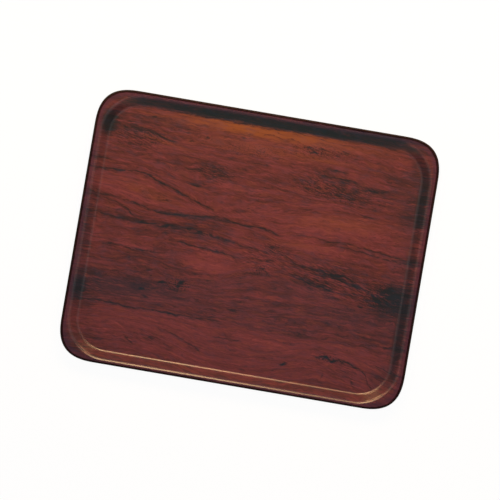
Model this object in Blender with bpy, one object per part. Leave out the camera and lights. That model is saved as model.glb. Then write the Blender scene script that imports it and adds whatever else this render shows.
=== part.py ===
"""Pressed laminate serving tray, made of the separate sheets that are glued together in the mould.

Units are metres. +X runs along the tray's long side, +Y along its short side and +Z up.
The origin is the middle of the underside, so the tray stands on z = 0.
Depth is measured from the tray's top face down through the sheets, square to the face.
"""

from math import asin, atan2, cos, hypot, pi, radians, sin

import bmesh
import bpy
from numpy import interp

# The outline of the tray, seen from above.
LENGTH = 0.430
WIDTH = 0.340
CORNER_REACH = 0.052  # how far along each side the soft corner starts from the tray's sharp corner
CORNER_POWER = 2.85  # 2 is a round corner, and more is squarer

# The floor and the wall around it.
FLOOR_MARGIN_X = 0.0212  # from the outline to the flat floor, at the short sides
FLOOR_MARGIN_Y = 0.0181  # the same, at the long sides
FLOOR_CORNER = 0.0375  # plan radius of the flat floor's corners
WALL_RUN = 0.015  # how far out the wall goes, with both its fillets
DISH_DEPTH = 0.012  # from the rim's top down to the floor
FLOOR_FILLET = 0.005  # between floor and wall, on the top face
RIM_FILLET = 0.006  # between wall and rim, on the top face

# The stack, from the top down: name, thickness and material.
GLUE_LINE = 0.0001
SHEETS = (
    ("wear_overlay", 0.00015, "clear_resin"),
    ("decor_sheet", 0.00025, "decor_print"),
    ("core_veneer_1", 0.00060, "core_wood_long"),
    ("core_veneer_2", 0.00060, "core_wood_cross"),
    ("core_veneer_3", 0.00060, "core_wood_long"),
    ("core_veneer_4", 0.00060, "core_wood_cross"),
    ("core_veneer_5", 0.00060, "core_wood_long"),
    ("backing_sheet", 0.00025, "backing_paper"),
    ("backing_overlay", 0.00015, "backing_resin"),
)
STACK = sum(thickness for _, thickness, _ in SHEETS) + GLUE_LINE * (len(SHEETS) - 1)

# The rounded edge, and the lacquer on it.
EDGE_ROUND = 0.0016  # how far in the rounding reaches, at the top and the bottom face
SEAL = 0.00025

# Fineness of the faceted solids.
CORNER_STEPS = 6
FILLET_STEPS = 2
EDGE_STEPS = 6
SHARP_ANGLE = radians(40)

# Colour, roughness and metallic value of each material.
MATERIALS = {
    "clear_resin": ((0.150, 0.032, 0.024), 0.25, 0.0),
    "decor_print": ((0.115, 0.022, 0.016), 0.40, 0.0),
    "core_wood_long": ((0.560, 0.390, 0.230), 0.65, 0.0),
    "core_wood_cross": ((0.470, 0.320, 0.190), 0.65, 0.0),
    "backing_paper": ((0.070, 0.026, 0.018), 0.55, 0.0),
    "backing_resin": ((0.050, 0.020, 0.014), 0.45, 0.0),
    "dark_lacquer": ((0.018, 0.004, 0.003), 0.35, 0.0),
}


def clear_scene():
    for thing in list(bpy.data.objects):
        bpy.data.objects.remove(thing, do_unlink=True)


def make_material(name):
    colour, roughness, metallic = MATERIALS[name]
    material = bpy.data.materials.new(name)
    material.use_nodes = True
    shader = material.node_tree.nodes["Principled BSDF"]
    shader.inputs["Base Color"].default_value = (*colour, 1.0)
    shader.inputs["Roughness"].default_value = roughness
    shader.inputs["Metallic"].default_value = metallic
    material.diffuse_color = (*colour, 1.0)
    return material


def corner_turns():
    """The four corners in order, as the sign of x, the sign of y and the angles of the steps round it."""
    for corner, (sign_x, sign_y) in enumerate(((1, 1), (-1, 1), (-1, -1), (1, -1))):
        start = corner * pi / 2
        yield sign_x, sign_y, [start + step * pi / 2 / CORNER_STEPS for step in range(CORNER_STEPS + 1)]


def wall_ring(out):
    """Plan points of the rounded rectangle that lies this far out from the floor's edge."""
    centre_x = LENGTH / 2 - FLOOR_MARGIN_X - FLOOR_CORNER
    centre_y = WIDTH / 2 - FLOOR_MARGIN_Y - FLOOR_CORNER
    radius = FLOOR_CORNER + out
    return [
        (sign_x * centre_x + radius * cos(turn), sign_y * centre_y + radius * sin(turn))
        for sign_x, sign_y, turns in corner_turns()
        for turn in turns
    ]


def outline_ring(inset):
    """Plan points of the tray's outline, this far in from its edge. Its corners are soft, not round."""
    reach = CORNER_REACH - inset
    centre_x = LENGTH / 2 - CORNER_REACH
    centre_y = WIDTH / 2 - CORNER_REACH
    ring = []
    for sign_x, sign_y, turns in corner_turns():
        for turn in turns:
            along_x = max(abs(cos(turn)), 1e-9) ** (2 / CORNER_POWER)
            along_y = max(abs(sin(turn)), 1e-9) ** (2 / CORNER_POWER)
            ring.append((sign_x * (centre_x + reach * along_x), sign_y * (centre_y + reach * along_y)))
    return ring


def rounded_edge():
    """Depths down the rounded edge, and how far in it lies at each."""
    turns = [pi * step / EDGE_STEPS for step in range(EDGE_STEPS + 1)]
    return [STACK / 2 * (1 - cos(turn)) for turn in turns], [EDGE_ROUND * (1 - sin(turn)) for turn in turns]


def edge_inset(depth):
    """How far in the faceted rounded edge lies at any depth."""
    return float(interp(depth, *rounded_edge()))


def wall_section(depth):
    """The wall from floor to rim, on the face at this depth, as (distance out, height) pairs.

    The wall is the straight line that touches both fillets. Faces deeper in the stack keep the same
    fillet centres, with a larger radius at the floor and a smaller one at the rim.
    """
    both = FLOOR_FILLET + RIM_FILLET
    rise = DISH_DEPTH - both
    slope = atan2(rise, WALL_RUN) + asin(both / hypot(WALL_RUN, rise))
    turns = [slope * step / FILLET_STEPS for step in range(FILLET_STEPS + 1)]
    low, high = FLOOR_FILLET + depth, RIM_FILLET - depth
    low_centre = STACK + FLOOR_FILLET
    high_centre = STACK + DISH_DEPTH - RIM_FILLET
    floor_side = [(low * sin(turn), low_centre - low * cos(turn)) for turn in turns]
    rim_side = [(WALL_RUN - high * sin(turn), high_centre + high * cos(turn)) for turn in reversed(turns)]
    return floor_side + rim_side


def face_rings(depth):
    """Rings of points, floor to edge, that make the pressed face at this depth."""
    rings = [[(x, y, height) for x, y in wall_ring(out)] for out, height in wall_section(depth)]
    rim = STACK + DISH_DEPTH - depth
    edge = outline_ring(edge_inset(depth) + SEAL + GLUE_LINE)
    return rings + [[(x, y, rim) for x, y in edge]]


def add_ring(mesh, ring):
    return [mesh.verts.new(point) for point in ring]


def join_rings(mesh, first, second):
    """A band of four-sided faces between two rings."""
    count = len(first)
    for i in range(count):
        j = (i + 1) % count
        mesh.faces.new((first[i], first[j], second[j], second[i]))


def make_node(mesh, name, material):
    """Turns a finished bmesh into the named object."""
    bmesh.ops.recalc_face_normals(mesh, faces=mesh.faces)
    data = bpy.data.meshes.new(name)
    mesh.to_mesh(data)
    mesh.free()
    data.shade_smooth()
    data.set_sharp_from_angle(angle=SHARP_ANGLE)
    data.materials.append(material)
    node = bpy.data.objects.new(name, data)
    bpy.context.collection.objects.link(node)
    return node


def make_sheet(name, top_depth, bottom_depth, material):
    """One pressed sheet: its top face, its bottom face and its trimmed edge."""
    mesh = bmesh.new()
    top = [add_ring(mesh, ring) for ring in face_rings(top_depth)]
    bottom = [add_ring(mesh, ring) for ring in face_rings(bottom_depth)]
    mesh.faces.new(top[0])
    mesh.faces.new(list(reversed(bottom[0])))
    for rings in (top, bottom):
        for first, second in zip(rings, rings[1:]):
            join_rings(mesh, first, second)
    join_rings(mesh, top[-1], bottom[-1])
    return make_node(mesh, name, material)


def make_edge_seal(material):
    """The lacquer bead: a thin channel that follows the rounded edge all round the tray."""
    outside = list(zip(*rounded_edge()))
    inside = [(depth, inset + SEAL) for depth, inset in reversed(outside)]
    mesh = bmesh.new()
    rings = []
    for depth, inset in outside + inside:
        height = STACK + DISH_DEPTH - depth
        rings.append(add_ring(mesh, [(x, y, height) for x, y in outline_ring(inset)]))
    for first, second in zip(rings, rings[1:] + rings[:1]):
        join_rings(mesh, first, second)
    return make_node(mesh, "edge_seal", material)


def main():
    clear_scene()
    materials = {name: make_material(name) for name in MATERIALS}
    depth = 0.0
    for name, thickness, material in SHEETS:
        make_sheet(name, depth, depth + thickness, materials[material])
        depth += thickness + GLUE_LINE
    make_edge_seal(materials["dark_lacquer"])


main()
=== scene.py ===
"""Looks of the pressed laminate serving tray.

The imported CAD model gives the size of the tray, the depth of each sheet and the body that everything rides
on. This script presses every sheet again as a fine smooth mesh in the same place, and gives each its
material. Units are metres, except where a heading says millimetres. +X runs along the grain, +Y towards the
tray's far side and +Z up.
"""

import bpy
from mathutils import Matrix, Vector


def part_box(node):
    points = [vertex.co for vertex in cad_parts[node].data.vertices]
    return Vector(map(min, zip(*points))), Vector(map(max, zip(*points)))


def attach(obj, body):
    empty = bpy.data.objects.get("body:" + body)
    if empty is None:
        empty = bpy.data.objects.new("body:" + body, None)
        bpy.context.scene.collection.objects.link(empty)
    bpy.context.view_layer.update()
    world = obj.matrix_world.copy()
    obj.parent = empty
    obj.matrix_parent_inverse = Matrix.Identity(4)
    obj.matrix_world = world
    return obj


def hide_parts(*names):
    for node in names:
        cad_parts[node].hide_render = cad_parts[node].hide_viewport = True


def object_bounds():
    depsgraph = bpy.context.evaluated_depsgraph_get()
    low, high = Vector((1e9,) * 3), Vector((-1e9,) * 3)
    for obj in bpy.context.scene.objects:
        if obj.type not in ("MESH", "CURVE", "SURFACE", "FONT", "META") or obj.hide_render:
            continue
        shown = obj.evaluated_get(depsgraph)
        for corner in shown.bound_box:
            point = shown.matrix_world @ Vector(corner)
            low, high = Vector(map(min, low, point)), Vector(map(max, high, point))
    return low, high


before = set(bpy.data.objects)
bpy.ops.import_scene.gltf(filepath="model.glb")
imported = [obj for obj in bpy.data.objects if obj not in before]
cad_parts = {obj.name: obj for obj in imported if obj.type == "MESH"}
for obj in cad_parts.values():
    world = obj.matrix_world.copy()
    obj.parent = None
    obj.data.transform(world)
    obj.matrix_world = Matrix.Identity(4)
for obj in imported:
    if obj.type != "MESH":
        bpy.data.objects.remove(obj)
cad_box = [list(corner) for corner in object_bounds()]

from math import asin, atan2, cos, hypot, pi, radians, sin

import bmesh
import bpy
from mathutils import Matrix, Vector

MM = 1000.0  # millimetres in a metre

# The tray's shape, as its CAD solids have it.
LENGTH = cad_box[1][0] - cad_box[0][0]
WIDTH = cad_box[1][1] - cad_box[0][1]
HEIGHT = cad_box[1][2] - cad_box[0][2]
SEAL_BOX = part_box("edge_seal")
STACK = SEAL_BOX[1][2] - SEAL_BOX[0][2]
DISH_DEPTH = HEIGHT - STACK
CORNER_REACH = 0.052  # how far along each side the soft corner starts from the tray's sharp corner
CORNER_POWER = 2.85  # 2 is a round corner, and more is squarer
FLOOR_MARGIN_X = 0.0212  # from the outline to the flat floor, at the short sides
FLOOR_MARGIN_Y = 0.0181  # the same, at the long sides
FLOOR_CORNER = 0.0375  # plan radius of the flat floor's corners
FLOOR_CENTRE_X = LENGTH / 2 - FLOOR_MARGIN_X - FLOOR_CORNER  # centres of the floor's corners
FLOOR_CENTRE_Y = WIDTH / 2 - FLOOR_MARGIN_Y - FLOOR_CORNER
WALL_RUN = 0.015  # plan width of the wall
FLOOR_FILLET = 0.005  # top-face radius of the bend from floor to wall
RIM_FILLET = 0.006  # top-face radius of the bend from wall to rim
EDGE_ROUND = 0.0016
SEAL = 0.00025
GLUE_LINE = 0.0001

# Fineness of the meshes.
CORNER_STEPS = 24
LONG_STEPS = 40
SHORT_STEPS = 30
FILLET_STEPS = 9
WALL_STEPS = 4
EDGE_STEPS = 18
FLOOR_RINGS = (-0.0008, -0.003, -0.008, -0.016, -0.026)  # how far inside the floor's edge each ring lies
RIM_SHARES = (0.1, 0.5, 0.9)  # where rings cross the rim
SHARP_ANGLE = radians(40)
NEAR_ZERO = 1e-9  # the least base of the soft corner's power


# ---- Shape -------------------------------------------------------------------------------------------------


def corner_turns():
    """The four corners in order, as the sign of x, the sign of y and the angles of the steps round it."""
    for corner, (sign_x, sign_y) in enumerate(((1, 1), (-1, 1), (-1, -1), (1, -1))):
        start = corner * pi / 2
        yield sign_x, sign_y, [start + step * pi / 2 / CORNER_STEPS for step in range(CORNER_STEPS + 1)]


def with_straights(corners):
    """One closed ring from four corners, with the straight stretches between them cut into even steps."""
    ring = []
    for i, corner in enumerate(corners):
        ring += corner
        (x0, y0), (x1, y1) = corner[-1], corners[(i + 1) % 4][0]
        steps = LONG_STEPS if i % 2 == 0 else SHORT_STEPS
        ring += [(x0 + (x1 - x0) * k / steps, y0 + (y1 - y0) * k / steps) for k in range(1, steps)]
    return ring


def wall_ring(out):
    """Plan points of the rounded rectangle that lies this far out from the floor's edge."""
    radius = FLOOR_CORNER + out
    return with_straights([
        [
            (sign_x * FLOOR_CENTRE_X + radius * cos(turn), sign_y * FLOOR_CENTRE_Y + radius * sin(turn))
            for turn in turns
        ]
        for sign_x, sign_y, turns in corner_turns()
    ])


def outline_ring(inset):
    """Plan points of the tray's outline, this far in from its edge. Its corners are soft, not round."""
    reach = CORNER_REACH - inset
    centre_x = LENGTH / 2 - CORNER_REACH
    centre_y = WIDTH / 2 - CORNER_REACH
    power = 2 / CORNER_POWER
    return with_straights([
        [
            (
                sign_x * (centre_x + reach * max(abs(cos(turn)), NEAR_ZERO) ** power),
                sign_y * (centre_y + reach * max(abs(sin(turn)), NEAR_ZERO) ** power),
            )
            for turn in turns
        ]
        for sign_x, sign_y, turns in corner_turns()
    ])


def edge_inset(depth):
    """How far in the rounded edge lies at this depth."""
    half = STACK / 2
    return EDGE_ROUND * (1 - max(0.0, 1 - ((depth - half) / half) ** 2) ** 0.5)


def wall_section(depth):
    """The wall from floor to rim, on the face at this depth, as (distance out, height) pairs."""
    both = FLOOR_FILLET + RIM_FILLET
    rise = DISH_DEPTH - both
    slope = atan2(rise, WALL_RUN) + asin(both / hypot(WALL_RUN, rise))
    turns = [slope * step / FILLET_STEPS for step in range(FILLET_STEPS + 1)]
    low, high = FLOOR_FILLET + depth, RIM_FILLET - depth
    low_centre = STACK + FLOOR_FILLET
    high_centre = STACK + DISH_DEPTH - RIM_FILLET
    floor_side = [(low * sin(turn), low_centre - low * cos(turn)) for turn in turns]
    rim_side = [(WALL_RUN - high * sin(turn), high_centre + high * cos(turn)) for turn in reversed(turns)]
    (x0, z0), (x1, z1) = floor_side[-1], rim_side[0]
    straight = [
        (x0 + (x1 - x0) * k / WALL_STEPS, z0 + (z1 - z0) * k / WALL_STEPS) for k in range(1, WALL_STEPS)
    ]
    return floor_side + straight + rim_side


def add_ring(mesh, ring, height):
    return [mesh.verts.new((x, y, height)) for x, y in ring]


def join_rings(mesh, first, second):
    """A band of faces between two rings. Points that have met at a corner make a triangle."""
    count = len(first)
    for i in range(count):
        j = (i + 1) % count
        corners = [first[i], first[j], second[j], second[i]]
        mesh.faces.new(list(dict.fromkeys(corners)))


def floor_patch(mesh, height):
    """The even grid in the middle of the floor. Gives its border as a ring, with each corner repeated."""
    columns = [FLOOR_CENTRE_X * (1 - 2 * i / LONG_STEPS) for i in range(LONG_STEPS + 1)]
    rows = [FLOOR_CENTRE_Y * (1 - 2 * j / SHORT_STEPS) for j in range(SHORT_STEPS + 1)]
    grid = [[mesh.verts.new((x, y, height)) for y in rows] for x in columns]
    for i in range(LONG_STEPS):
        for j in range(SHORT_STEPS):
            mesh.faces.new((grid[i][j], grid[i + 1][j], grid[i + 1][j + 1], grid[i][j + 1]))
    sides = (
        [column[0] for column in grid],
        grid[-1],
        [column[-1] for column in reversed(grid)],
        list(reversed(grid[0])),
    )
    border = []
    for side in sides:
        border += [side[0]] * (CORNER_STEPS + 1) + side[1:-1]
    return border


def pressed_face(mesh, depth):
    """The pressed face at this depth, from the middle of the floor to the edge. Gives its last ring."""
    section = wall_section(depth)
    floor, rim = section[0][1], section[-1][1]
    rings = [floor_patch(mesh, floor)]
    rings += [add_ring(mesh, wall_ring(out), floor) for out in reversed(FLOOR_RINGS)]
    rings += [add_ring(mesh, wall_ring(out), height) for out, height in section]
    inner = wall_ring(WALL_RUN)
    outer = outline_ring(edge_inset(depth) + SEAL + GLUE_LINE)
    for share in RIM_SHARES + (1,):
        ring = [
            (x0 + (x1 - x0) * share, y0 + (y1 - y0) * share) for (x0, y0), (x1, y1) in zip(inner, outer)
        ]
        rings.append(add_ring(mesh, ring, rim))
    for first, second in zip(rings, rings[1:]):
        join_rings(mesh, first, second)
    return rings[-1]


def finish_piece(mesh, name, material, nodes):
    """Turns a bmesh into the named piece, which rides on the tray's body and stands for its CAD nodes."""
    bmesh.ops.recalc_face_normals(mesh, faces=mesh.faces)
    data = bpy.data.meshes.new(name)
    mesh.to_mesh(data)
    mesh.free()
    data.shade_smooth()
    data.set_sharp_from_angle(angle=SHARP_ANGLE)
    data.materials.append(material)
    piece = bpy.data.objects.new(name, data)
    bpy.context.collection.objects.link(piece)
    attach(piece, "root")
    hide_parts(*nodes)


def make_sheet(name, nodes, material):
    """One pressed sheet, from the top of its first CAD node to the bottom of its last."""
    top_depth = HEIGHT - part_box(nodes[0])[1][2]
    bottom_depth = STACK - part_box(nodes[-1])[0][2]
    mesh = bmesh.new()
    edges = [pressed_face(mesh, depth) for depth in (top_depth, bottom_depth)]
    join_rings(mesh, *edges)
    finish_piece(mesh, name, material, nodes)


def make_edge_seal(material):
    """The lacquer bead on the rounded edge."""
    turns = [pi * step / EDGE_STEPS for step in range(EDGE_STEPS + 1)]
    outside = [(EDGE_ROUND * (1 - sin(turn)), STACK / 2 * (1 - cos(turn))) for turn in turns]
    section = outside + [(inset + SEAL, depth) for inset, depth in reversed(outside)]
    mesh = bmesh.new()
    rings = [add_ring(mesh, outline_ring(inset), HEIGHT - depth) for inset, depth in section]
    for first, second in zip(rings, rings[1:] + rings[:1]):
        join_rings(mesh, first, second)
    finish_piece(mesh, "lacquered_edge", material, ["edge_seal"])


# ---- Wood figure of the decor print, with painted light and shade ------------------------------------------
# Everything in this part is in millimetres on the tray, seen from above, with (0, 0) at its middle. The
# places follow the print in the photograph: they were listed and turned into millimetres, and the
# strengths were set one by one.

SPAN_X = 230  # the figure's curves run from -SPAN_X to SPAN_X along the grain
SPAN_Y = 180  # and from -SPAN_Y to SPAN_Y across it

# Lines that the grain follows, near side first: (x, y) points.
GRAIN_GUIDES = (
    (
        (-212, -117), (-129, -114), (-92, -117), (-36, -130), (10, -133), (57, -127), (103, -119),
        (165, -127), (211, -139),
    ),
    ((-212, -97), (-160, -94), (-92, -94), (-36, -97), (57, -97), (134, -94), (211, -97)),
    ((-212, -72), (-98, -71), (10, -65), (88, -58), (211, -57)),
    (
        (-212, -40), (-113, -40), (-79, -45), (-36, -45), (-11, -37), (10, -31), (41, -29), (88, -37),
        (134, -40), (211, -41),
    ),
    ((-212, -23), (-67, -24), (-18, -23), (10, -17), (41, -16), (88, -21), (134, -28), (211, -31)),
    (
        (-212, -9), (-113, -6), (-67, -6), (-36, -11), (-18, -16), (10, -9), (57, -11), (118, -16),
        (211, -20),
    ),
    (
        (-212, 12), (-175, 10), (-141, 8), (-117, 12), (-79, 12), (-18, 6), (35, -3), (57, -6), (118, -6),
        (211, -11),
    ),
    (
        (-212, 40), (-160, 34), (-129, 27), (-67, 30), (-30, 30), (10, 27), (35, 23), (72, 26), (118, 27),
        (156, 22), (211, 21),
    ),
    (
        (-212, 69), (-154, 71), (-123, 65), (-92, 54), (-49, 39), (-18, 44), (41, 54), (72, 59), (134, 59),
        (211, 59),
    ),
    ((-212, 84), (-144, 82), (-104, 74), (-67, 70), (57, 71), (103, 74), (134, 68), (211, 68)),
    ((-212, 102), (-113, 102), (-67, 99), (-5, 96), (41, 88), (88, 82), (211, 84)),
    ((-212, 118), (-175, 122), (-144, 121), (-120, 116), (103, 115), (149, 108), (211, 105)),
    ((-212, 146), (-5, 147), (118, 141), (211, 136)),
)

# Tone of the broad growth bands across the grain: (y, tone) points. 0 is near black and 0.5 the middle
# red-brown.
GROWTH_BANDS = (
    (-170, 0.50), (-135, 0.60), (-105, 0.585), (-90, 0.48), (-60, 0.47), (-38, 0.465), (-20, 0.53),
    (2, 0.515), (18, 0.54), (40, 0.62), (58, 0.57), (78, 0.51), (100, 0.53), (125, 0.54), (170, 0.50),
)

# Soft light and dark areas: (x, y, half length, half width, turn in degrees, change of tone).
TONE_AREAS = (
    (-170, 122, 42, 12, -8, -0.16),
    (-165, 104, 22, 7, 0, -0.07),
    (-188, 99, 18, 8, 0, -0.09),
    (105, 90, 75, 16, -4, -0.11),
    (85, 104, 30, 5, 0, -0.03),
    (155, 121, 45, 9, 0, -0.12),
    (-138, 120, 38, 8, 0, -0.06),
    (140, 97, 30, 7, -3, -0.09),
    (-60, 86, 26, 13, 0, -0.12),
    (-35, 93, 24, 5, 0, -0.10),
    (-140, 60, 60, 8, -8, -0.03),
    (-185, 62, 20, 8, 0, -0.06),
    (-160, 40, 36, 7, -4, 0.05),
    (-60, 42, 26, 7, -10, 0.08),
    (120, 45, 90, 16, 0, 0.04),
    (112, 0, 48, 6, -5, -0.08),
    (-105, 20, 32, 4, -2, 0.11),
    (-150, 18, 80, 12, -6, -0.06),
    (-60, 20, 40, 8, 0, -0.07),
    (70, 16, 60, 9, -3, 0.14),
    (175, 18, 40, 8, 0, -0.04),
    (0, 0, 34, 9, -5, 0.10),
    (-46, -27, 38, 18, 0, 0.22),
    (-150, -21, 26, 4, 0, 0.10),
    (-135, -31, 30, 7, 5, -0.12),
    (115, -16, 60, 13, -6, -0.13),
    (88, -30, 48, 9, -12, -0.12),
    (-60, -62, 24, 8, 0, 0.09),
    (189, -34, 38, 23, 6, -0.40),
    (192, -20, 22, 16, 0, -0.14),
    (119, -38, 20, 3, 0, 0.10),
    (-140, -66, 90, 15, 0, -0.14),
    (-170, -82, 50, 12, 0, -0.07),
    (150, -62, 70, 12, 0, -0.05),
    (140, -78, 60, 4, 0, -0.06),
    (30, -56, 42, 4, 3, 0.07),
    (25, -112, 60, 6, -3, 0.07),
    (-80, -112, 90, 10, 0, 0.04),
    (44, -121, 28, 5, 0, -0.08),
    (150, -133, 34, 9, 0, -0.08),
    (-172, -138, 24, 7, 0, -0.14),
    (178, 104, 34, 24, 0, -0.12),
    (187, 70, 18, 22, 0, -0.12),
    (-206, -10, 12, 40, 0, -0.10),
    (190, 50, 20, 80, 0, -0.07),
    (-190, -112, 20, 55, 0, -0.08),
    (186, -136, 18, 25, 0, -0.17),
    (-130, 138, 60, 10, 0, -0.17),
    (-190, 138, 14, 10, 0, -0.10),
    (15, -20, 30, 9, 0, 0.12),
    (0, -102, 75, 8, 0, 0.09),
    (-72, -142, 60, 8, 0, 0.09),
)

# Dark areas along the walls and the rim, in the same form. The bands that run along a wall or the rim
# are painted shade; the short patches are dark figure.
EDGE_SHADE_AND_FIGURE_AREAS = (
    (-198, 126, 11, 19, 0, -0.54),
    (-202, -80, 11, 19, 0, -0.38),
    (200, 90, 8, 55, 0, -0.42),
    (200, 15, 8, 40, 0, -0.22),
    (200, -85, 8, 65, 0, -0.33),
    (0, 158, 215, 8, 0, -0.46),
    (135, 165, 75, 5, 0, -0.34),
    (150, 165, 28, 5, 0, -0.20),
    (-205, 30, 10, 95, 0, -0.08),
    (208, 95, 6, 50, 0, -0.12),
    (190, 132, 12, 20, 0, -0.16),
    (-203, -150, 28, 20, -45, -0.16),
)

# Areas that turn towards orange: (x, y, half length, half width, turn in degrees, amount). The first
# three, along the far edge of the floor, are orange print and a painted sheen of the warm rear lights; the
# rest are print.
ORANGE_AND_SHEEN_AREAS = (
    (5, 146, 170, 12, 0, 0.44),
    (-15, 148, 100, 10, 0, 0.48),
    (-10, 126, 110, 12, 0, 0.22),
    (-137, 50, 50, 9, -12, 0.25),
    (108, 50, 70, 12, 4, 0.25),
    (55, 15, 45, 5, 0, 0.22),
    (-125, 114, 40, 5, -12, 0.20),
    (75, 124, 40, 4, 0, 0.22),
)

# Areas that turn towards purple, in the same form.
PURPLE_AREAS = (
    (-140, -72, 80, 16, 0, 0.9),
    (-80, 28, 46, 4, 0, 1.2),
    (140, -60, 70, 16, 0, 0.5),
    (80, -40, 50, 8, 0, 0.6),
    (110, 100, 60, 10, 0, 0.4),
    (-60, 5, 70, 6, 0, 0.4),
    (-205, -20, 12, 150, 0, 0.5),
    (0, -100, 290, 115, 0, 0.85),
    (191, 0, 22, 170, 0, 0.6),
)

# Curly areas, where a second grain crosses the first, in the same form.
CURLY_AREAS = (
    (105, -20, 75, 24, -6, 0.21),
    (172, -32, 36, 22, 0, 0.20),
    (22, -6, 36, 16, 10, 0.20),
    (95, 92, 70, 20, -6, 0.17),
    (-58, 86, 34, 16, 0, 0.12),
    (-160, 112, 40, 18, 0, 0.15),
    (-20, 40, 60, 12, 20, 0.08),
    (-110, -130, 80, 14, 0, 0.08),
    (140, -130, 50, 14, 0, 0.10),
    (65, 133, 50, 10, 0, 0.12),
)

# Areas with dark specks, in the same form.
SPECKLED_AREAS = (
    (65, 134, 55, 10, 0, 0.26),
    (-58, 86, 32, 15, 0, 0.10),
    (88, 86, 65, 14, -5, 0.22),
    (28, 7, 18, 7, 0, 0.30),
    (172, -32, 34, 22, 0, 0.32),
    (-155, 114, 44, 16, 0, 0.20),
    (-80, -57, 22, 10, 0, 0.40),
    (120, -117, 24, 7, 0, 0.40),
    (-20, 122, 60, 12, 0, 0.22),
    (18, -22, 22, 8, 20, 0.30),
)

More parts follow.
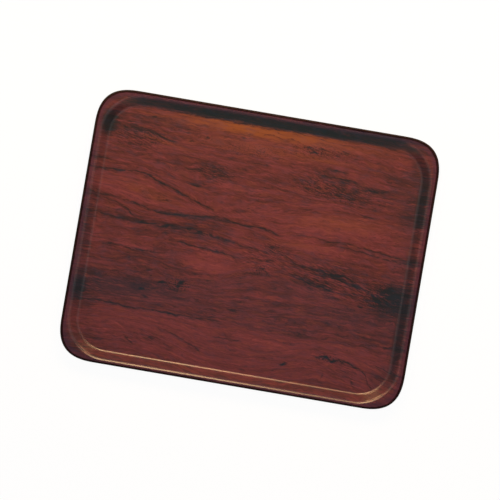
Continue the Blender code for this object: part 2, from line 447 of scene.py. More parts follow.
# Dark veins: how thick each is, and its (x, y, strength) points.
VEINS = (
    (3.2, (
        (-135, 28, 0), (-112, 27, 0.18), (-90, 27, 0.22), (-70, 28, 0.26), (-50, 30, 0.22), (-30, 29, 0.2),
        (-10, 28, 0.14), (8, 28, 0.05), (20, 27, 0),
    )),
    (3.8, (
        (-212, 14, 0.12), (-190, 13, 0.15), (-165, 12, 0.16), (-148, 13, 0.13), (-128, 12, 0.10),
        (-109, 11, 0.20), (-90, 10, 0.24), (-72, 9, 0.26), (-52, 8, 0.20), (-32, 5, 0.12), (-15, 3, 0.04),
        (0, 2, 0),
    )),
    (1.1, (
        (-207, 69, 0.3), (-182, 70, 0.6), (-158, 72, 0.4), (-139, 70, 0.6), (-129, 66, 0.65),
        (-114, 61, 0.5), (-98, 55, 0.5), (-80, 49, 0.5), (-68, 45, 0.45), (-52, 40, 0.35), (-40, 37, 0),
    )),
    (1.2, (
        (-145, 42, 0), (-139, 42, 0.2), (-114, 42, 0.25), (-97, 39, 0.15), (-90, 38, 0), (47, 60, 0),
        (56, 60, 0.2), (75, 60, 0.2), (84, 60, 0), (122, 65, 0), (132, 65, 0.3), (145, 63, 0.1),
        (150, 62, 0),
    )),
    (1.15, (
        (-217, 42, 0.4), (-207, 39, 0.35), (-176, 37, 0.3), (-160, 35, 0.35), (-145, 32, 0.4),
        (-129, 28, 0.4), (-111, 27, 0.35), (-89, 28, 0.35), (-71, 30, 0.32), (-47, 32, 0.35),
        (-27, 30, 0.32), (-12, 28, 0.4), (4, 29, 0.62), (19, 27, 0.5), (34, 23, 0.34), (47, 26, 0.25),
        (72, 28, 0.28), (90, 26, 0.32), (118, 27, 0.36), (136, 25, 0.4), (161, 22, 0.36), (211, 18, 0.3),
    )),
    (0.9, (
        (-213, 35, 0.3), (-191, 33, 0.35), (-160, 26, 0.35), (-145, 15, 0.1), (-130, 14, 0), (60, 21, 0),
        (110, 22, 0.25), (150, 18, 0.35), (211, 14, 0.35),
    )),
    (1.2, (
        (-195, 15, 0.15), (-170, 12, 0.2), (-148, 10, 0.2), (-139, 11, 0.3), (-124, 11, 0.3),
        (-109, 11, 0.34), (-105, 12, 0.35), (-80, 13, 0.25), (-61, 11, 0.35), (-43, 8, 0.28), (-18, 5, 0.3),
        (-6, 2, 0.38), (20, 1, 0.3), (44, 0, 0.35), (59, -8, 0.4), (90, -12, 0.4), (118, -19, 0.5),
        (149, -26, 0.35), (170, -30, 0),
    )),
    (0.9, (
        (-98, -5, 0), (-88, -5, 0.3), (-68, -8, 0.4), (-43, -9, 0.42), (-18, -13, 0.4), (-11, -18, 0),
        (88, -13, 0), (104, -14, 0.42), (121, -14, 0.42), (135, -19, 0.3), (150, -25, 0),
    )),
    (1.2, (
        (-185, -23, 0), (-176, -22, 0.4), (-163, -21, 0.3), (-145, -23, 0.5), (-117, -23, 0.3),
        (-108, -24, 0), (4, -25, 0), (12, -20, 0.25), (25, -24, 0.3), (33, -30, 0), (60, -24, 0),
        (78, -28, 0.35), (104, -33, 0.3), (120, -36, 0),
    )),
    (0.9, (
        (-200, -94, 0.3), (-160, -93, 0.55), (-136, -95, 0.5), (-110, -94, 0.4), (-92, -94, 0.55),
        (-80, -95, 0.4), (-68, -94, 0.35), (-51, -96, 0.35), (-37, -95, 0.3), (-24, -94, 0.2),
        (-10, -93, 0), (26, -93, 0), (40, -94, 0.2), (52, -93, 0.1), (68, -92, 0.2), (81, -92, 0.2),
        (95, -92, 0), (150, -92, 0), (165, -92, 0.22), (180, -92, 0.1), (197, -91, 0.4), (211, -91, 0.3),
    )),
    (0.9, (
        (-34, -114, 0), (-24, -114, 0.35), (4, -114, 0.35), (12, -114, 0), (92, -116, 0), (103, -117, 0.4),
        (115, -115, 0.7), (122, -119, 0.65), (135, -117, 0.5), (149, -120, 0.5), (158, -124, 0.55),
        (166, -128, 0.5), (170, -137, 0.4), (176, -144, 0.3), (181, -148, 0),
    )),
    (0.9, (
        (174, -115, 0), (182, -117, 0.5), (195, -121, 0.5), (205, -124, 0.3),
    )),
    (0.9, (
        (-100, -113, 0), (-93, -115, 0.25), (-72, -120, 0.32), (-55, -127, 0.32), (-42, -133, 0.3),
        (-35, -140, 0),
    )),
    (1.1, (
        (-163, 124, 0), (-155, 124, 0.45), (-142, 123, 0.45), (-126, 118, 0.5), (-114, 116, 0.35),
        (-106, 115, 0), (-66, 113, 0), (-56, 114, 0.15), (-42, 115, 0), (-24, 107, 0), (-12, 107, 0.25),
        (4, 106, 0.2), (10, 106, 0), (70, 116, 0), (90, 114, 0.35), (102, 114, 0.3), (110, 114, 0),
    )),
    (1.1, (
        (-140, 88, 0), (-128, 88, 0.2), (-112, 88, 0.15), (-94, 85, 0.2), (-80, 87, 0.25), (-70, 89, 0),
        (70, 105, 0), (85, 105, 0.35), (108, 105, 0.35), (120, 102, 0.1), (128, 96, 0.2), (140, 96, 0.35),
        (156, 98, 0.2), (165, 98, 0),
    )),
    (1.2, (
        (-216, 82, 0), (-208, 82, 0.25), (-196, 82, 0.25), (-188, 82, 0), (-90, 67, 0), (-80, 67, 0.4),
        (-70, 66, 0), (104, 82, 0), (113, 82, 0.4), (120, 82, 0), (190, 68, 0), (205, 66, 0.4),
    )),
)

# Pale thin streaks, in the same form as the veins.
LIGHT_STREAKS = (
    (0.8, (
        (-176, -20, 0), (-160, -19, 0.15), (-130, -20, 0.18), (-115, -21, 0), (-10, -57, 0), (5, -56, 0.15),
        (50, -57, 0.2), (68, -58, 0), (95, -38, 0), (105, -38, 0.25), (135, -40, 0.2), (142, -41, 0),
    )),
    (0.8, (
        (-160, -40, 0), (-152, -40, 0.2), (-136, -41, 0.15), (-130, -42, 0), (-72, 70, 0), (-60, 71, 0.12),
        (-10, 70, 0.18), (0, 69, 0), (104, -20, 0), (112, -20, 0.3), (122, -22, 0.2), (130, -24, 0),
    )),
    (0.8, (
        (-160, -115, 0), (-152, -116, 0.25), (-138, -121, 0.2), (-130, -124, 0), (-6, -109, 0),
        (4, -109, 0.2), (45, -109, 0.25), (68, -114, 0.15), (76, -116, 0),
    )),
    (0.7, (
        (-150, 122, 0), (-142, 119, 0.15), (-116, 112, 0.2), (-104, 110, 0), (-100, -7, 0), (-85, -8, 0.15),
        (-50, -12, 0.22), (-20, -16, 0.2), (-12, -20, 0), (40, 57, 0), (70, 66, 0.15), (120, 72, 0.12),
        (140, 72, 0),
    )),
)

# Knots, flecks and other short dark marks: (x, y, half length, half width, turn in degrees, strength).
MARKS = (
    (-137, 11, 7, 2.5, 0, 0.28), (-109, 11, 4, 3, 0, 0.35), (-126, -70, 5, 2.4, 10, 0.3),
    (-119, -79, 6, 2.2, -10, 0.25), (-9, -78, 8, 2, 0, 0.2), (-119, -46, 5, 2, 20, 0.25),
    (-102, -58, 6, 2, 15, 0.5), (-77, -54, 5, 2.6, 40, 0.6), (-80, -60, 3, 3.6, 70, 0.4),
    (65, -133, 6, 2.4, 25, 0.6), (-102, -128, 5, 1.6, 0, 0.3), (-129, -135, 9, 1.6, -35, 0.25),
    (174, -22, 9, 3.5, 30, 0.4), (163, -35, 8, 3.5, -30, 0.35), (182, -28, 10, 4, 20, 0.35),
    (146, -47, 4, 1.8, 0, 0.4), (113, -13, 9, 2.4, 0, 0.18), (115, -116, 4, 2.6, 30, 0.5),
    (123, -119, 4, 2.2, -20, 0.5), (153, -142, 7, 2, -60, 0.3), (115, -139, 5, 1.4, 90, 0.2),
    (16, -148, 5, 1.6, 0, 0.2), (-74, 128, 3, 1.4, -20, 0.35), (-92, 120, 6, 1.6, 15, 0.3),
    (-30, 135, 5, 1.5, 0, 0.25), (52, 137, 5, 1.4, 0, 0.3), (68, 137, 6, 1.4, -10, 0.3),
    (58, 131, 6, 1.8, 0, 0.35), (97, 138, 6, 1.8, -15, 0.3), (-177, 124, 5, 2, -20, 0.35),
    (-173, 131, 4, 1.6, 10, 0.3), (-145, 142, 4, 1.5, 0, 0.3), (140, 96, 5, 2.2, 0, 0.2),
    (96, 85, 7, 2, -15, 0.3), (75, 83, 6, 1.8, 10, 0.25), (58, 87, 6, 1.8, -10, 0.25),
    (28, 7, 9, 3, 10, 0.2), (18, -22, 7, 2, 25, 0.25), (-60, 88, 8, 5, 40, 0.08),
    (-51, 84, 6, 4, -30, 0.06),
)

# How far the figure is moved about, from one extreme to the other.
WANDER = 7.0
RIPPLE = 4.0
RAGGED_X = 26.0
RAGGED_Y = 5.0
CLOSE_X = 8.0  # moved by the tone, and the others by noise
SHAKE = 1.2  # to each side

# How much the grain's noises change the tone, each way.
BROAD_TONE = 0.07
STREAK_TONE = 0.15
FINE_TONE = 0.085
FIBRE_TONE = 0.025

CURL_EVERYWHERE = 0.04  # what curl there is outside the curly areas
CURL_SLANT_X = -0.9  # how the curl's own grain leans across the print's
CURL_SLANT_Y = 0.28

AREA_EDGE = (1.25, 0.15)  # a soft area starts and is full at these shares of its half length and half width

# The print's colour at each tone. In every stop, part of the green and blue is a painted grey reflection of
# the sky.
PRINT_AND_REFLECTION_RAMP = (
    (0.0, (0.017, 0.0195, 0.0285)),
    (0.22, (0.038, 0.0220, 0.0305)),
    (0.38, (0.069, 0.0265, 0.0345)),
    (0.50, (0.105, 0.0325, 0.0415)),
    (0.66, (0.146, 0.0410, 0.0560)),
    (1.0, (0.230, 0.0620, 0.0800)),
)
# The orange of the print, which also paints the sheen along the far edge of the floor.
ORANGE_PRINT_AND_SHEEN = (0.212, 0.071, 0.032, 1)
PURPLE_TINT = (0.0, 0.0042, 0.0125, 1)
MOST_PURPLE = 1.5

# A grey painted reflection on the far wall, and a little of it on the other walls.
# Heights and places between which that comes and goes.
FAR_WALL_PAINTED_REFLECTION = (0.012, 0.038, 0.0385, 1)
REFLECTION_FOOT = (4.8, 7.2)
REFLECTION_TOP = (16.0, 14.0)
REFLECTION_FAR_SIDE = (146, 156)
REFLECTION_ELSEWHERE = 0.03

# Near the outline the rim turns purple, and nearer still it darkens to near black.
LIP_PURPLE = (0.049, 0.024, 0.062, 1)
LIP_INSET = (10.0, 5.0)
LIP_AMOUNT = 0.5
OUTLINE_DARK = (0.006, 0.002, 0.003, 1)
OUTLINE_DARK_INSET = (3.7, 2.5)
OUTLINE_DARK_AMOUNT = 0.85
OUTLINE_DARK_RAGGED = -0.6  # how much further in the darkening reaches where the grain is dark
NEAR_SIDE = (-140, -160)
NEAR_SIDE_SHORTER = 0.8  # how much less far in the darkening reaches at the near side

WORN_COAT = 0.2  # how much of the resin's gloss is left on the level floor and rim; the bends keep all of it
OUTLINE_DARK_COAT = 0.1  # and how much of that is left under the full darkening
LEVEL_MARGIN = (0.02, 0.2)  # the gloss comes back between these distances above the floor and below the rim

# The colour sockets of a Mix node.
MIX_FIRST = 6
MIX_SECOND = 7
MIX_RESULT = 2

# Steps between the noises of two seeds.
SEED_X = 7.31
SEED_Y = 3.17


class Graph:
    """Adds nodes to one new material and links them. Most of its methods give output sockets."""

    def __init__(self, name):
        self.material = bpy.data.materials.new(name)
        self.material.use_nodes = True
        self.tree = self.material.node_tree
        self.shader = self.tree.nodes["Principled BSDF"]

    def add(self, kind, inputs=(), **settings):
        """A new node."""
        node = self.tree.nodes.new("ShaderNode" + kind)
        for key, value in settings.items():
            setattr(node, key, value)
        for socket, value in inputs:
            self.feed(node.inputs[socket], value)
        return node

    def feed(self, socket, value):
        """Links an output to the socket, or sets the socket to a plain value."""
        if isinstance(value, bpy.types.NodeSocket):
            self.tree.links.new(value, socket)
        else:
            socket.default_value = value

    def shade(self, socket, value):
        self.feed(self.shader.inputs[socket], value)

    def math(self, operation, *values):
        return self.add("Math", enumerate(values), operation=operation).outputs[0]

    def span(self, value, low, high, start=0.0, end=1.0, smooth=True):
        """The value's way from low to high, turned into start to end and held there."""
        inputs = (("Value", value), ("From Min", low), ("From Max", high), ("To Min", start), ("To Max", end))
        kind = "SMOOTHSTEP" if smooth else "LINEAR"
        return self.add("MapRange", inputs, interpolation_type=kind).outputs[0]

    def swing(self, noise, reach, low=0.2, high=0.8):
        """Noise turned into a value from -reach to reach."""
        return self.span(noise, low, high, -reach, reach, smooth=False)

    def sway(self, value, noise, reach):
        """The value moved by noise, by up to half the reach each way."""
        return self.math("MULTIPLY_ADD", noise, reach, self.math("ADD", value, -reach / 2))

    def mix(self, factor, first, second, **settings):
        """Two colours mixed."""
        inputs = (("Factor", factor), (MIX_FIRST, first), (MIX_SECOND, second))
        return self.add("Mix", inputs, data_type="RGBA", **settings).outputs[MIX_RESULT]

    def ramp(self, value, stops):
        """The colour at this value, between (value, colour) stops."""
        node = self.add("ValToRGB", (("Fac", value),))
        elements = node.color_ramp.elements
        while len(elements) < len(stops):
            elements.new(0.5)
        for element, (place, colour) in zip(elements, stops):
            element.position = place
            element.color = (*colour, 1)
        return node.outputs["Color"]

    def curve(self, share, points, scale=1.0, shift=0.0):
        """A smooth curve through (x, y) points, where x runs from 0 to 1 and so does (y - shift) / scale."""
        node = self.add("FloatCurve", (("Value", share),))
        line = node.mapping.curves[0]
        while len(line.points) < len(points):
            line.points.new(0.5, 0.5)
        for point, (x, y) in zip(line.points, points):
            point.location = (x, (y - shift) / scale)
            point.handle_type = "AUTO_CLAMPED"
        node.mapping.update()
        if (scale, shift) == (1, 0):
            return node.outputs[0]
        return self.math("MULTIPLY_ADD", node.outputs[0], scale, shift)

    def point(self, x, y):
        return self.add("CombineXYZ", (("X", x), ("Y", y))).outputs[0]

    def noise(self, along, across, length, height, seed, detail=2.0, roughness=0.5):
        """Noise whose features are about this long and this high, as a number round 0.5."""
        point = self.point(
            self.math("MULTIPLY_ADD", along, 1 / length, SEED_X * seed),
            self.math("MULTIPLY_ADD", across, 1 / height, SEED_Y * seed),
        )
        inputs = (("Vector", point), ("Scale", 1.0), ("Detail", detail), ("Roughness", roughness))
        return self.add("TexNoise", inputs, noise_dimensions="2D").outputs["Fac"]

    def place(self):
        """The place on the tray in millimetres, as x, y and z."""
        split = self.add("SeparateXYZ", ((0, self.add("TexCoord").outputs["Object"]),))
        return [self.math("MULTIPLY", split.outputs[axis], MM) for axis in ("X", "Y", "Z")]

    def bump(self, height, strength, distance):
        inputs = (("Height", height), ("Strength", strength), ("Distance", distance))
        return self.add("Bump", inputs).outputs[0]


def as_shares(points, low, high):
    """Curve points with their x turned into a share of the way from low to high, with the ends held level."""
    inside = [((x - low) / (high - low), y) for x, y in points]
    return [(0, inside[0][1])] + inside + [(1, inside[-1][1])]


def line_across(graph, share_x, points):
    """The y of a line through these (x, y) points, at each place along the tray."""
    return graph.curve(share_x, as_shares(points, -SPAN_X, SPAN_X), 2 * SPAN_Y, -SPAN_Y)


def grain_flow(graph, share_x, y):
    """How far across the grain a place lies in millimetres, measured between the guide lines."""
    rests = [sum(point[1] for point in guide) / len(guide) for guide in GRAIN_GUIDES]
    low = line_across(graph, share_x, GRAIN_GUIDES[0])
    flow = graph.math("ADD", graph.math("MINIMUM", graph.math("SUBTRACT", y, low), 0.0), rests[0])
    for i, guide in enumerate(GRAIN_GUIDES[1:]):
        high = line_across(graph, share_x, guide)
        flow = graph.math("ADD", flow, graph.span(y, low, high, 0.0, rests[i + 1] - rests[i], smooth=False))
        low = high
    return graph.math("ADD", flow, graph.math("MAXIMUM", graph.math("SUBTRACT", y, low), 0.0))


def soft_areas(graph, point, areas, start=None):
    """The start value plus soft-edged turned ellipses, each with its own amount."""
    result = start
    for x, y, half_length, half_width, turn, amount in areas:
        inputs = (
            ("Vector", point),
            ("Location", (x, y, 0)),
            ("Rotation", (0, 0, radians(turn))),
            ("Scale", (half_length, half_width, 1)),
        )
        local = graph.add("Mapping", inputs, vector_type="TEXTURE").outputs[0]
        distance = graph.add("VectorMath", ((0, local),), operation="LENGTH").outputs["Value"]
        area = graph.span(distance, *AREA_EDGE, 0.0, amount)
        result = area if result is None else graph.math("ADD", result, area)
    return result


def thin_lines(graph, share_x, y, lines):
    """Thin lines along the grain that fade out on both sides."""
    result = None
    for thickness, points in lines:
        centre = line_across(graph, share_x, [(x, across) for x, across, _ in points])
        strengths = [(x, strength) for x, _, strength in points]
        strength = graph.curve(share_x, as_shares(strengths, -SPAN_X, SPAN_X))
        offset = graph.math("ABSOLUTE", graph.math("SUBTRACT", y, centre))
        falloff = graph.math("EXPONENT", graph.math("MULTIPLY", offset, -1 / thickness))
        vein = graph.math("MULTIPLY", falloff, strength)
        result = vein if result is None else graph.math("ADD", result, vein)
    return result


def edge_distance(graph, x, y):
    """How far in from the tray's outline a place near it lies, in millimetres."""
    reach = CORNER_REACH * MM
    past = []
    for value, side in ((x, LENGTH), (y, WIDTH)):
        beyond = graph.math("SUBTRACT", graph.math("ABSOLUTE", value), side / 2 * MM - reach)
        past.append(graph.math("POWER", graph.math("MAXIMUM", beyond, 0.0), CORNER_POWER))
    total = graph.math("ADD", *past)
    return graph.math("SUBTRACT", reach, graph.math("POWER", total, 1 / CORNER_POWER))


class Decor(Graph):
    """The graph of the decor print, with the places and the grain noises that its layers share."""

    def __init__(self):
        super().__init__("decor_print")
        self.x, self.y, self.z = self.place()
        self.share_x = self.span(self.x, -SPAN_X, SPAN_X, smooth=False)
        self.flow = grain_flow(self, self.share_x, self.y)
        wander = self.grain(length=55, height=9, seed=1, detail=3)
        self.flow = self.sway(self.flow, wander, WANDER)
        ripple = self.grain(length=14, height=5, seed=10)
        self.flow = self.sway(self.flow, ripple, RIPPLE)
        self.broad = self.grain(length=90, height=7, seed=2, detail=2)
        self.streak = self.grain(length=30, height=2.4, seed=3, detail=3, roughness=0.55)
        self.fine = self.grain(length=9, height=0.95, seed=4, detail=2, roughness=0.6)
        self.fibre = self.grain(length=4, height=0.5, seed=5, detail=1)

    def grain(self, **noise):
        """Noise that follows the grain."""
        return self.noise(self.x, self.flow, **noise)


def growth_tone(decor):
    """Tone of the growth bands, the soft areas and the grain. Also gives the areas' ragged place."""
    across = decor.span(decor.flow, -SPAN_Y, SPAN_Y, smooth=False)
    bands = decor.curve(across, as_shares(GROWTH_BANDS, -SPAN_Y, SPAN_Y))
    ragged_x = decor.sway(decor.x, decor.streak, RAGGED_X)
    ragged_y = decor.sway(decor.y, decor.fine, RAGGED_Y)
    ragged = decor.point(ragged_x, ragged_y)
    tone = soft_areas(decor, ragged, TONE_AREAS, bands)
    tone = decor.math("ADD", tone, decor.swing(decor.broad, BROAD_TONE, 0.25, 0.75))
    for noise, reach in ((decor.streak, STREAK_TONE), (decor.fine, FINE_TONE), (decor.fibre, FIBRE_TONE)):
        tone = decor.math("ADD", tone, decor.swing(noise, reach))
    silk = decor.span(decor.grain(length=22, height=1.4, seed=14, detail=1), 0.58, 0.72, -0.012, 0.11)
    return decor.math("ADD", tone, silk), ragged


def vein_tone(decor, tone, shaken_y):
    """The tone with its dark veins, which break up along their way, and its pale streaks."""
    veins = thin_lines(decor, decor.share_x, shaken_y, VEINS)
    broken = decor.span(decor.grain(length=12, height=1.6, seed=7), 0.25, 0.6, 0.45, 1.15)
    tone = decor.math("SUBTRACT", tone, decor.math("MULTIPLY", veins, broken))
    return decor.math("ADD", tone, thin_lines(decor, decor.share_x, shaken_y, LIGHT_STREAKS))


def curl_tone(decor, tone, ragged):
    """The tone with a second grain that crosses the first."""
    curl_x = decor.math("MULTIPLY_ADD", decor.y, CURL_SLANT_X, decor.x)
    curl_y = decor.math("MULTIPLY_ADD", decor.x, CURL_SLANT_Y, decor.y)
    curl = decor.noise(curl_x, curl_y, length=11, height=1.7, seed=11, detail=2, roughness=0.6)
    swirl = decor.span(curl, 0.3, 0.7, -1.0, 0.8, smooth=False)
    amount = soft_areas(decor, ragged, CURLY_AREAS, CURL_EVERYWHERE)
    return decor.math("ADD", tone, decor.math("MULTIPLY", swirl, amount))


def speck_tone(decor, tone, close):
    """The tone with its dark specks."""
    noise = decor.noise(decor.x, decor.y, length=2.2, height=1.3, seed=12, detail=1)
    specks = decor.span(noise, 0.54, 0.68)
    specks = decor.math("MULTIPLY", specks, soft_areas(decor, close, SPECKLED_AREAS))
    return decor.math("SUBTRACT", tone, specks)


def pore_tone(decor, tone):
    """The tone with the short dark pores of the wood, more of them in some stretches than in others."""
    pores = decor.span(decor.grain(length=5, height=0.55, seed=8, detail=1), 0.62, 0.72)
    crowd = decor.span(decor.grain(length=45, height=14, seed=9), 0.45, 0.62, 0.04, 0.15)
    return decor.math("SUBTRACT", tone, decor.math("MULTIPLY", pores, crowd))


def figure_tone(decor):
    """The whole figure's tone, with painted shade on the walls and the rim. Also gives the ragged and the
    close place that soft areas of colour use.
    """
    tone, ragged = growth_tone(decor)
    shake = decor.noise(decor.x, decor.y, length=9, height=6, seed=6)
    shaken_y = decor.math("ADD", decor.y, decor.swing(shake, SHAKE))
    tone = vein_tone(decor, tone, shaken_y)
    tone = curl_tone(decor, tone, ragged)
    close = decor.point(decor.sway(decor.x, tone, CLOSE_X), shaken_y)
    tone = decor.math("SUBTRACT", tone, soft_areas(decor, close, MARKS))
    # Painted shade along the walls and the rim, with a few dark patches of figure.
    tone = soft_areas(decor, close, EDGE_SHADE_AND_FIGURE_AREAS, tone)
    tone = speck_tone(decor, tone, close)
    return pore_tone(decor, tone), ragged, close


def figure_colour(decor, tone, ragged, close):
    """The print's colour at each tone, turned towards orange in some areas and towards purple in others.
    Along the far edge of the floor the orange is partly painted sheen, and the ramp holds a painted grey
    reflection.
    """
    colour = decor.ramp(tone, PRINT_AND_REFLECTION_RAMP)
    tint = decor.grain(length=17, height=4.5, seed=13)
    orange = soft_areas(decor, ragged, ORANGE_AND_SHEEN_AREAS, decor.span(tint, 0.48, 0.3, 0.0, 0.12))
    orange = decor.math("MULTIPLY", orange, decor.span(decor.streak, 0.3, 0.65, 0.6, 1.1))
    orange = decor.math("MULTIPLY", orange, decor.span(tone, 0.15, 0.5))
    colour = decor.mix(decor.math("MINIMUM", orange, 1.0), colour, ORANGE_PRINT_AND_SHEEN)
    purple = soft_areas(decor, close, PURPLE_AREAS)
    purple = decor.math("ADD", purple, decor.span(decor.broad, 0.45, 0.7, 0.0, 0.6))
    purple = decor.math("ADD", purple, decor.span(tint, 0.5, 0.7, 0.0, 1.1))
    purple = decor.math("MULTIPLY", purple, decor.span(tone, 0.75, 0.45, 0.2, 1.0))
    purple = decor.math("MINIMUM", purple, MOST_PURPLE)
    return decor.mix(purple, colour, PURPLE_TINT, blend_type="ADD", clamp_factor=False)


def painted_wall_reflection(decor, colour):
    """The colour with a grey painted reflection on the far wall, and a little on the other walls."""
    wall = decor.math("MULTIPLY", decor.span(decor.z, *REFLECTION_FOOT), decor.span(decor.z, *REFLECTION_TOP))
    wall = decor.math("MULTIPLY", wall, decor.span(decor.y, *REFLECTION_FAR_SIDE, REFLECTION_ELSEWHERE, 1.0))
    return decor.mix(wall, colour, FAR_WALL_PAINTED_REFLECTION, blend_type="ADD")


def edge_colour(decor, colour):
    """The colour with the purple lip and the near-black darkening at the outline. Also gives how much
    darkening there is.
    """
    inset = edge_distance(decor, decor.x, decor.y)
    lip = decor.span(inset, *LIP_INSET, 0.0, LIP_AMOUNT)
    colour = decor.mix(lip, colour, LIP_PURPLE)
    # The rim darkens to near black towards the outline, further in where the grain is dark.
    darkening = decor.math("ADD", inset, decor.span(decor.streak, 0.2, 0.8, OUTLINE_DARK_RAGGED, 0.0, smooth=False))
    darkening = decor.math("ADD", darkening, decor.span(decor.y, *NEAR_SIDE, 0.0, NEAR_SIDE_SHORTER))
    darkening = decor.span(darkening, *OUTLINE_DARK_INSET, 0.0, OUTLINE_DARK_AMOUNT)
    return decor.mix(darkening, colour, OUTLINE_DARK), darkening


def coat_gloss(decor, darkening):
    """How much gloss the resin has: full in the bends and on the wall, worn on the level floor and rim."""
    near, far = LEVEL_MARGIN
    floor_z, rim_z = STACK * MM, HEIGHT * MM
    above_floor = decor.span(decor.z, floor_z + near, floor_z + far)
    below_rim = decor.span(decor.z, rim_z - near, rim_z - far)
    gloss = decor.math("MULTIPLY", above_floor, below_rim)
    gloss = decor.span(gloss, 0.0, 1.0, WORN_COAT, 1.0, smooth=False)
    coat_left = decor.span(darkening, 0.0, OUTLINE_DARK_AMOUNT, 1.0, OUTLINE_DARK_COAT, smooth=False)
    return decor.math("MULTIPLY", gloss, coat_left)


def decor_material():
    """Dark red-brown rosewood print under clear glossy resin. Its colour also holds painted shade, a painted
    reflection and a painted sheen.
    """
    decor = Decor()
    tone, ragged, close = figure_tone(decor)
    colour = figure_colour(decor, tone, ragged, close)
    # Painted grey reflection on the walls.
    colour = painted_wall_reflection(decor, colour)
    colour, darkening = edge_colour(decor, colour)
    decor.shade("Base Color", colour)
    decor.shade("Roughness", decor.span(decor.fine, 0.2, 0.8, 0.75, 0.60, smooth=False))
    decor.shade("Normal", decor.bump(decor.fibre, 0.06, 0.0002))
    decor.shade("Specular IOR Level", 0.0)
    decor.shade("Coat Weight", coat_gloss(decor, darkening))
    decor.shade("Coat Roughness", 0.22)
    decor.shade("Coat IOR", 1.5)
    return decor.material


# ---- Other materials ---------------------------------------------------------------------------------------
# Noise lengths and depths are in millimetres here too.

BIRCH_RAMP = ((0.3, (0.40, 0.26, 0.14)), (0.5, (0.56, 0.39, 0.23)), (0.7, (0.66, 0.49, 0.31)))
BIRCH_WAVE = 12.0  # how far the veneer's growth lines wave
BACKING_RAMP = ((0.3, (0.034, 0.013, 0.010)), (0.5, (0.058, 0.022, 0.016)), (0.7, (0.088, 0.036, 0.025)))
SCUFFED = (0.15, 0.085, 0.062, 1)
SCRATCH_TURNS = (8, 67, 131)  # which ways the scratches run, in degrees
SCRATCH_SEED = 40
SCRATCH_BEND = 6.0
STANDING_FACE = (1.2, 0.3)  # heights between which the scuffs of standing begin
LACQUER_RAMP = (
    (0.35, (0.005, 0.0015, 0.0018)),
    (0.55, (0.011, 0.0030, 0.0028)),
    (0.75, (0.024, 0.0080, 0.0060)),
)
RUBBED = (0.075, 0.035, 0.022, 1)
RUBBED_DEPTH = (1.2, 2.2)  # depths below the rim between which the rubbed spots begin


def veneer_material(grain):
    """Pale birch veneer, with its grain running long, along the tray, or cross."""
    graph = Graph(f"birch_{grain}")
    x, y, _ = graph.place()
    run, side = (x, y) if grain == "long" else (y, x)
    wave = graph.noise(run, side, length=120, height=18, seed=20, detail=2)
    side = graph.math("MULTIPLY_ADD", wave, BIRCH_WAVE, side)
    rings = graph.noise(run, side, length=140, height=3.2, seed=21, detail=3)
    fibre = graph.noise(run, side, length=12, height=0.35, seed=22, detail=2)
    tone = graph.math("MULTIPLY_ADD", fibre, 0.35, graph.math("MULTIPLY", rings, 0.65))
    graph.shade("Base Color", graph.ramp(tone, BIRCH_RAMP))
    graph.shade("Roughness", graph.span(fibre, 0.3, 0.7, 0.75, 0.60, smooth=False))
    graph.shade("Normal", graph.bump(fibre, 0.2, 0.0001))
    return graph.material


def scratches(graph, x, y, turn, seed):
    """Fine, nearly straight scratches that all run one way, in patches."""
    along = graph.math("MULTIPLY_ADD", x, cos(turn), graph.math("MULTIPLY", y, sin(turn)))
    across = graph.math("MULTIPLY_ADD", y, cos(turn), graph.math("MULTIPLY", x, -sin(turn)))
    bend = graph.noise(along, across, length=60, height=30, seed=seed)
    bent = graph.math("MULTIPLY_ADD", bend, SCRATCH_BEND, across)
    line = graph.span(graph.noise(along, bent, length=45, height=0.5, seed=seed + 1, detail=1), 0.66, 0.74)
    patches = graph.span(graph.noise(x, y, length=40, height=40, seed=seed + 2), 0.45, 0.65)
    return graph.math("MULTIPLY", line, patches)


def scuffs(graph, x, y, z):
    """How scuffed the face is that the tray stands on."""
    marks = [scratches(graph, x, y, radians(turn), SCRATCH_SEED + turn) for turn in SCRATCH_TURNS]
    total = marks[0]
    for mark in marks[1:]:
        total = graph.math("ADD", total, mark)
    stands = graph.span(z, *STANDING_FACE)
    return graph.math("MINIMUM", graph.math("MULTIPLY", total, stands), 1.0)


def backing_material(name, coated):
    """Dark brown paper, plain or under its resin skin. The skin is scuffed where the tray stands on it."""
    graph = Graph(name)
    x, y, z = graph.place()
    cloud = graph.noise(x, y, length=60, height=45, seed=30, detail=3)
    mottle = graph.noise(x, y, length=5, height=4, seed=31, detail=3)
    fibre_x = graph.noise(x, y, length=3, height=0.4, seed=32, detail=1)
    fibre_y = graph.noise(x, y, length=0.4, height=3, seed=33, detail=1)
    fibre = graph.math("ADD", fibre_x, fibre_y)
    tone = graph.math("MULTIPLY_ADD", cloud, 0.45, graph.math("MULTIPLY", mottle, 0.35))
    tone = graph.math("MULTIPLY_ADD", fibre, 0.1, tone)
    colour = graph.ramp(tone, BACKING_RAMP)
    roughness = graph.span(mottle, 0.3, 0.7, 0.62, 0.50, smooth=False)
    if coated:
        scuff = scuffs(graph, x, y, z)
        colour = graph.mix(graph.math("MULTIPLY", scuff, 0.5), colour, SCUFFED)
        roughness = graph.math("MULTIPLY_ADD", scuff, 0.2, roughness)
        graph.shade("Coat Weight", 0.5)
        graph.shade("Coat Roughness", 0.32)
    graph.shade("Base Color", colour)
    graph.shade("Roughness", roughness)
    graph.shade("Specular IOR Level", 0.35)
    graph.shade("Normal", graph.bump(graph.math("ADD", fibre, mottle), 0.12, 0.0002))
    return graph.material


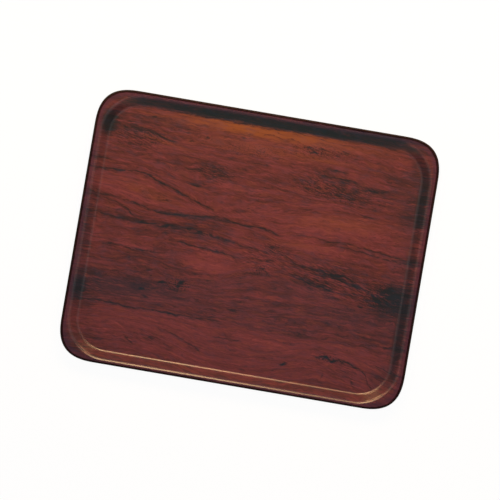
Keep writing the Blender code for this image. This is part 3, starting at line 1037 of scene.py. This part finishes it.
def lacquer_material():
    """Near-black brown lacquer on the trimmed edge, with the plies just showing and a few rubbed spots."""
    graph = Graph("edge_lacquer")
    x, y, z = graph.place()
    depth = graph.math("SUBTRACT", HEIGHT * MM, z)
    plies = graph.noise(graph.math("ADD", x, y), depth, length=90, height=0.55, seed=50, detail=2)
    brush = graph.noise(graph.math("ADD", x, y), depth, length=16, height=0.3, seed=51, detail=2)
    tone = graph.math("MULTIPLY_ADD", brush, 0.5, graph.math("MULTIPLY", plies, 0.5))
    colour = graph.ramp(tone, LACQUER_RAMP)
    spots = graph.noise(x, y, length=14, height=14, seed=52, detail=3)
    rubbed = graph.span(spots, 0.60, 0.72, 0.0, 0.35)
    rubbed = graph.math("MULTIPLY", rubbed, graph.span(depth, *RUBBED_DEPTH))
    graph.shade("Base Color", graph.mix(rubbed, colour, RUBBED))
    graph.shade("Roughness", graph.span(brush, 0.3, 0.7, 0.42, 0.58, smooth=False))
    graph.shade("Specular IOR Level", 0.15)
    graph.shade("Normal", graph.bump(tone, 0.15, 0.0002))
    return graph.material


# ---- Studio ------------------------------------------------------------------------------------------------

CAMERA_DISTANCE = 5.0
CAMERA_LENS = 291.4
CAMERA_REACH = 50
CAMERA_ELEVATION = radians(88.5)
CAMERA_ROLL = radians(9.685)
CAMERA_AIM = Vector((0.0004, -0.0006, 0.010))
LIGHT_AIM = Vector((0, 0, 0))

FLOOR_SIZE = 6
FLOOR_DROP = 0.0003  # how far the studio floor lies below the tray
FLOOR_GREY = (0.05, 0.05, 0.05, 1)
FLOOR_GLOW = 0.96
WHITE = (1, 1, 1, 1)

SKY_EDGE = 0.22  # the sky's strength near the horizon
SKY_TOP = 0.31  # and overhead
SKY_FADE = (0.1, 0.9)  # heights on the unit sphere between which it changes

WARM = (1.0, 0.62, 0.25)

# Lights that only show as reflections: name, degrees right of the far side, elevation in degrees, distance,
# size, colour and radiance.
GLINTS = (
    ("rear_strip", -13, 53, 1.5, (1.2, 0.8), WARM, 5.3),
    ("rear_lamp", -7, 56, 1.5, (0.24, 0.9), (1.0, 0.70, 0.38), 11.5),
    ("rear_left_box", -28, 9, 3.0, (1.4, 0.6), WARM, 13.5),
    ("rear_right_box", 26, 9, 3.0, (1.1, 0.6), WARM, 8.5),
    ("right_box", 108, 50, 3.0, (2.2, 1.0), (1, 0.9, 0.95), 0.07),
)


def make_camera():
    back = Vector((0, -cos(CAMERA_ELEVATION), sin(CAMERA_ELEVATION)))
    up = Vector((0, sin(CAMERA_ELEVATION), cos(CAMERA_ELEVATION)))
    right = up.cross(back)
    turned_right = right * cos(CAMERA_ROLL) + up * sin(CAMERA_ROLL)
    turned_up = up * cos(CAMERA_ROLL) - right * sin(CAMERA_ROLL)
    data = bpy.data.cameras.new("camera")
    data.lens = CAMERA_LENS
    data.clip_end = CAMERA_REACH
    camera = bpy.data.objects.new("camera", data)
    camera.matrix_world = Matrix((turned_right, turned_up, back)).transposed().to_4x4()
    camera.location = CAMERA_AIM + back * CAMERA_DISTANCE
    bpy.context.collection.objects.link(camera)
    bpy.context.scene.camera = camera


def make_area_light(name, place, size, colour, power):
    """A rectangular light that faces the tray and that the camera doesn't see."""
    data = bpy.data.lights.new(name, "AREA")
    data.shape = "RECTANGLE"
    data.size, data.size_y = size
    data.color = colour
    data.energy = power
    light = bpy.data.objects.new(name, data)
    light.location = place
    light.rotation_euler = (LIGHT_AIM - Vector(place)).to_track_quat("-Z", "Y").to_euler()
    light.visible_camera = False
    bpy.context.collection.objects.link(light)
    return light


def make_floor():
    """A pale floor that glows evenly and throws no light on the tray."""
    mesh = bmesh.new()
    bmesh.ops.create_grid(mesh, x_segments=8, y_segments=8, size=FLOOR_SIZE)
    data = bpy.data.meshes.new("studio_floor")
    mesh.to_mesh(data)
    mesh.free()
    floor = bpy.data.objects.new("studio_floor", data)
    floor.location.z = -FLOOR_DROP
    bpy.context.collection.objects.link(floor)
    graph = Graph("studio_white")
    graph.shade("Base Color", FLOOR_GREY)
    graph.shade("Roughness", 0.9)
    graph.shade("Specular IOR Level", 0.0)
    graph.shade("Emission Color", WHITE)
    graph.shade("Emission Strength", FLOOR_GLOW)
    data.materials.append(graph.material)
    floor.visible_diffuse = False
    floor.visible_glossy = False


def make_sky():
    """A soft white overhead light that fades towards the horizon."""
    world = bpy.data.worlds.new("studio")
    bpy.context.scene.world = world
    world.use_nodes = True
    tree = world.node_tree
    place = tree.nodes.new("ShaderNodeTexCoord")
    split = tree.nodes.new("ShaderNodeSeparateXYZ")
    fade = tree.nodes.new("ShaderNodeMapRange")
    fade.interpolation_type = "SMOOTHSTEP"
    low, high = SKY_FADE
    for socket, value in (("From Min", low), ("From Max", high), ("To Min", SKY_EDGE), ("To Max", SKY_TOP)):
        fade.inputs[socket].default_value = value
    background = tree.nodes["Background"]
    tree.links.new(place.outputs["Generated"], split.inputs[0])
    tree.links.new(split.outputs["Z"], fade.inputs["Value"])
    tree.links.new(fade.outputs[0], background.inputs["Strength"])
    background.inputs["Color"].default_value = WHITE


def make_studio():
    make_sky()
    make_floor()
    panel = make_area_light("rear_panel", (0, 0.60, 0.67), (1.0, 0.36), WARM, 10.9)
    panel.visible_glossy = False
    for name, turn, rise, distance, size, colour, radiance in GLINTS:
        turn, rise = radians(turn), radians(rise)
        place = Vector((sin(turn) * cos(rise), cos(turn) * cos(rise), sin(rise))) * distance
        power = radiance * pi * size[0] * size[1]
        glint = make_area_light(name, place, size, colour, power)
        glint.visible_diffuse = False
    make_area_light("near_right_box", (1.6, -1.6, 5.5), (1.4, 1.4), (1, 1, 1), 7.0)
    bpy.context.scene.view_settings.view_transform = "Standard"


# ---- The tray ----------------------------------------------------------------------------------------------

VENEERS = 5

decor = decor_material()
woods = {grain: veneer_material(grain) for grain in ("long", "cross")}
backing_paper = backing_material("backing_paper_fibre", coated=False)
backing_skin = backing_material("backing_skin_resin", coated=True)

make_sheet("decor_face", ["wear_overlay", "decor_sheet"], decor)
for number in range(1, VENEERS + 1):
    grain = "long" if number % 2 else "cross"
    make_sheet(f"veneer_{number}", [f"core_veneer_{number}"], woods[grain])
make_sheet("backing_paper", ["backing_sheet"], backing_paper)
make_sheet("backing_skin", ["backing_overlay"], backing_skin)
make_edge_seal(lacquer_material())
make_camera()
make_studio()
